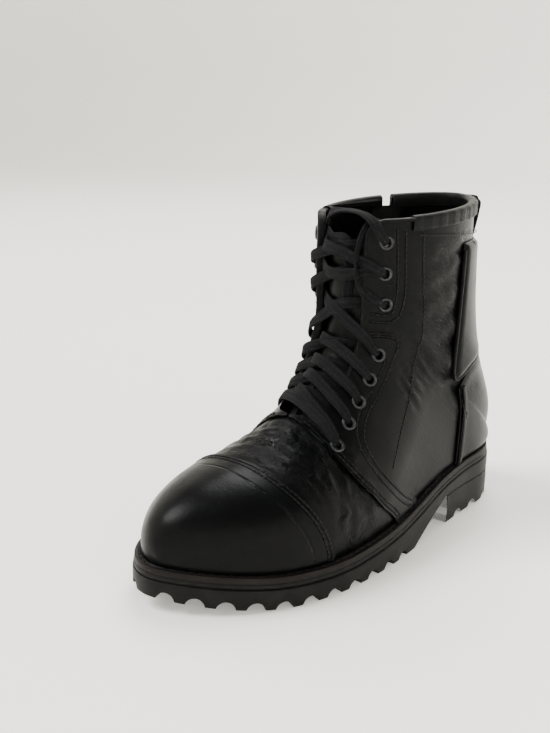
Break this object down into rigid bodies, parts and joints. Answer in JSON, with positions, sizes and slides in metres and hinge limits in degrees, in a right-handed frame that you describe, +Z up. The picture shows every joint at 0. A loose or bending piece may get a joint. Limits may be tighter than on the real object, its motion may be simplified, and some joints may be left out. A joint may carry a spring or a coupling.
{
  "type": "combat boot",
  "caption": "Ankle-high laced combat boot, left foot, leather upper with toe cap, medial zip, pull loop and welted lug sole, standing upright.",
  "frame": {"origin": "on the floor, under the middle of the boot's bounding box", "axes": "+Y from toe to heel, +X to the lateral side, +Z up"},
  "size_m": [0.1143, 0.302, 0.2088],
  "materials": {
    "upper_leather": "black smooth leather with a satin shine, creased at the vamp and ankle",
    "lining": "dark grey textile lining, matt",
    "welt_leather": "dark brown welt leather with coarse dark stitching",
    "sole_rubber": "dark brown-black matt rubber",
    "lace": "black flat woven lace",
    "gunmetal": "dark gunmetal, polished",
    "zip_cloth": "black zip tape"
  },
  "bodies": {
    "boot": {"outsole": "sole_rubber", "heel": "sole_rubber", "midsole": "sole_rubber", "welt": "welt_leather", "insole": "lining", "upper": "upper_leather", "tongue": "upper_leather", "toe_cap": "upper_leather", "lower_facing_lateral": "upper_leather", "upper_facing_lateral": "upper_leather", "lower_facing_medial": "upper_leather", "upper_facing_medial": "upper_leather", "heel_counter": "upper_leather", "back_panel": "upper_leather", "collar_binding": "upper_leather", "collar_binding_medial": "upper_leather", "pull_loop": "upper_leather", "eyelet_lateral_1": "gunmetal", "eyelet_lateral_2": "gunmetal", "eyelet_lateral_3": "gunmetal", "eyelet_lateral_4": "gunmetal", "eyelet_lateral_5": "gunmetal", "eyelet_lateral_6": "gunmetal", "eyelet_lateral_7": "gunmetal", "eyelet_lateral_8": "gunmetal", "eyelet_medial_1": "gunmetal", "eyelet_medial_2": "gunmetal", "eyelet_medial_3": "gunmetal", "eyelet_medial_4": "gunmetal", "eyelet_medial_5": "gunmetal", "eyelet_medial_6": "gunmetal", "eyelet_medial_7": "gunmetal", "eyelet_medial_8": "gunmetal", "lace_crossings": "lace", "zip_tape": "zip_cloth", "zip_teeth": "gunmetal", "zip_slider": "gunmetal"},
    "pull_tab": {"zip_pull_tab": "gunmetal"}
  },
  "joints": [
    {"name": "pull_tab_swing", "type": "hinge", "parent": "boot", "child": "pull_tab", "pos_m": [-0.03731, 0.08143, 0.18549], "axis": [0.3284, 0.9374, -0.1161], "range_deg": [0, 150]}
  ]
}
